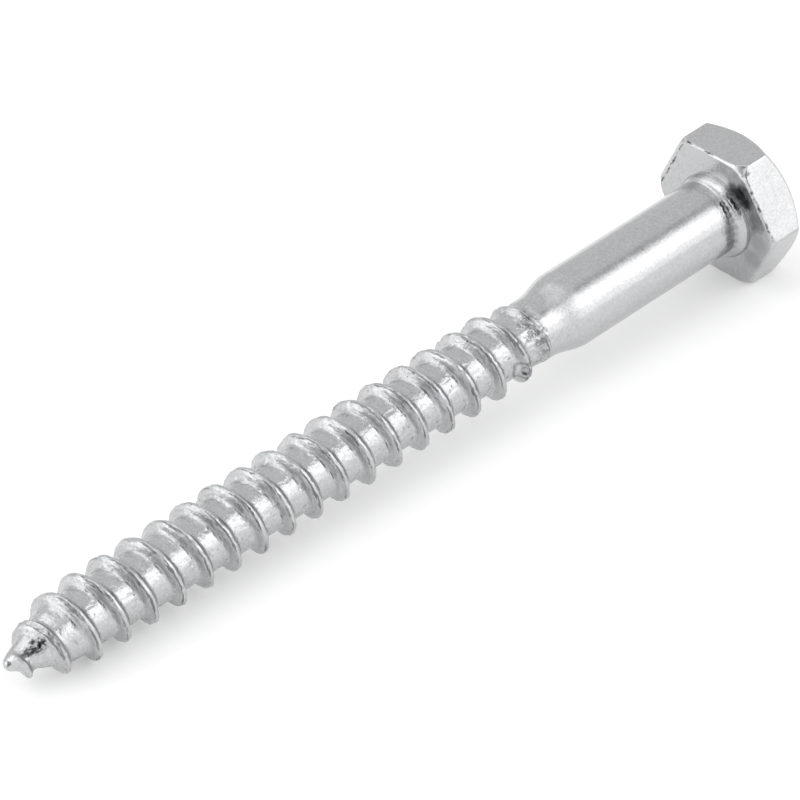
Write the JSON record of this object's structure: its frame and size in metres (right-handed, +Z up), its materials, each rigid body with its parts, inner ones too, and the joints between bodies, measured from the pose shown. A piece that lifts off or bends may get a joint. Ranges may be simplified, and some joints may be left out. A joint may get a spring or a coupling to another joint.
{
  "type": "lag screw",
  "caption": "Hex-head lag screw in bright zinc-plated steel, with a plain shank under the head, a coarse right-hand wood thread and a sharp point, lying on its side.",
  "frame": {"origin": "middle of the underside of the bounding box, on the surface that the screw lies on", "axes": "+X from the point towards the head, +Z up; the screw's own axis rises 2.1 degrees towards the head, because it lies on the edge of one head flat and on the thread near the point"},
  "size_m": [0.0722, 0.0124, 0.0109],
  "materials": {
    "zinc_plated_steel": "bright electroplated zinc over cold-formed steel, satin with fine speckle, rougher on the rolled thread"
  },
  "bodies": {
    "root": {"lag_screw": "zinc_plated_steel"}
  },
  "joints": []
}
